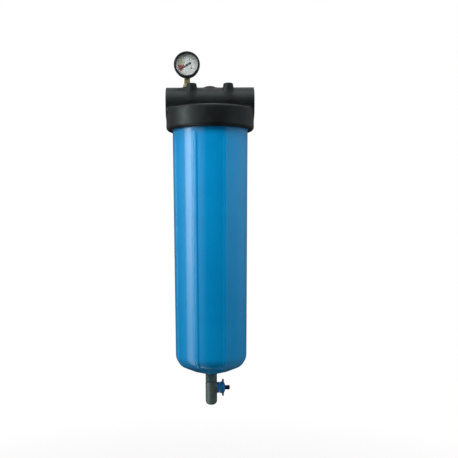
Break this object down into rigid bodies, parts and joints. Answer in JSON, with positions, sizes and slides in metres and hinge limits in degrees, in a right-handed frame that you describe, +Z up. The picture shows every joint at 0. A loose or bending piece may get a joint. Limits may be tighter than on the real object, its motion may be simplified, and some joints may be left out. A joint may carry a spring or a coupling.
{
  "type": "bag filter housing",
  "caption": "Hanging bag filter housing: port head with gauge and vent button over a ribbed screw-on sump that holds a basket and bag, with a wing drain cock below.",
  "frame": {"origin": "middle of the four bracket bosses, on their top face", "axes": "+Z up along the housing's axis, +X along the port tube towards the outlet, -Y the front that the gauge faces"},
  "size_m": [0.1848, 0.184, 0.74],
  "materials": {
    "head_plastic": "satin moulded polypropylene, near black",
    "sump_plastic": "glossy moulded polypropylene, blue",
    "drain_grey": "satin grey-green moulded plastic",
    "drain_blue": "moulded plastic, deep blue",
    "drain_navy": "moulded plastic, navy",
    "button_plastic": "black moulded plastic",
    "basket_plastic": "natural white polypropylene",
    "felt": "needle felt",
    "ring_plastic": "natural polypropylene",
    "rubber": "black rubber",
    "brass": "machined brass",
    "steel": "stainless steel",
    "gauge_black": "black painted steel",
    "dial_white": null,
    "needle_black": "black painted aluminium",
    "window": "clear plastic window"
  },
  "bodies": {
    "head": {"head": "head_plastic", "mounting_inserts": "brass", "spigot_seal": "rubber", "vent_spring": "steel", "gauge_bushing": "brass", "gauge_stem": "brass", "gauge_case": "gauge_black", "gauge_bezel": "gauge_black", "gauge_lens": "window", "lens_gasket": "rubber", "gauge_dial": "dial_white", "dial_screws": "brass", "gauge_movement": "brass", "pressure_tube": "brass"},
    "basket": {"basket": "basket_plastic", "filter_bag": "felt", "bag_ring": "ring_plastic"},
    "sump": {"sump": "sump_plastic", "sump_seal": "rubber", "drain_nipple": "drain_grey", "drain_leg": "drain_grey", "drain_cock": "drain_blue"},
    "drain_stem": {"drain_stem": "drain_navy", "drain_pad": "rubber", "drain_stem_seal": "rubber"},
    "drain_knob": {"drain_wing_knob": "drain_blue"},
    "vent_button": {"vent_button": "button_plastic", "vent_washer": "rubber", "vent_clip": "steel"},
    "gauge_pointer": {"gauge_pointer": "needle_black", "pointer_spindle": "brass"},
    "gauge_sector": {"gauge_sector": "brass"}
  },
  "joints": [
    {"name": "sump_travel", "type": "slide", "parent": "head", "child": "basket", "axis": [0, 0, -1], "range_m": [0, 0.025]},
    {"name": "sump_turn", "type": "hinge", "parent": "basket", "child": "sump", "pos_m": [0, 0, -0.0726], "axis": [0, 0, -1], "range_deg": [0, 900]},
    {"name": "drain_travel", "type": "slide", "parent": "sump", "child": "drain_stem", "axis": [1, 0, 0], "range_m": [0, 0.003]},
    {"name": "drain_turn", "type": "hinge", "parent": "drain_stem", "child": "drain_knob", "pos_m": [0.02, 0, -0.6361], "axis": [1, 0, 0], "range_deg": [0, 360]},
    {"name": "vent_press", "type": "slide", "parent": "head", "child": "vent_button", "axis": [0, 0, -1], "range_m": [0, 0.0025], "stiffness_N_per_m": 600, "springref_m": -0.002, "deforming": ["vent_spring"]},
    {"name": "pointer_swing", "type": "hinge", "parent": "head", "child": "gauge_pointer", "pos_m": [-0.048, 0, 0.0407], "axis": [0, 1, 0], "range_deg": [0, 244], "stiffness_Nm_per_rad": 0.002},
    {"name": "sector_swing", "type": "hinge", "parent": "head", "child": "gauge_sector", "pos_m": [-0.048, 0, 0.0329], "axis": [0, 1, 0], "range_deg": [-70, 0]}
  ],
  "couplings": [
    {"joint": "sump_travel", "follows": "sump_turn", "m_per_rad": 0.00159},
    {"joint": "drain_travel", "follows": "drain_turn", "m_per_rad": 0.000477},
    {"joint": "sector_swing", "follows": "pointer_swing", "ratio": -0.2712}
  ]
}
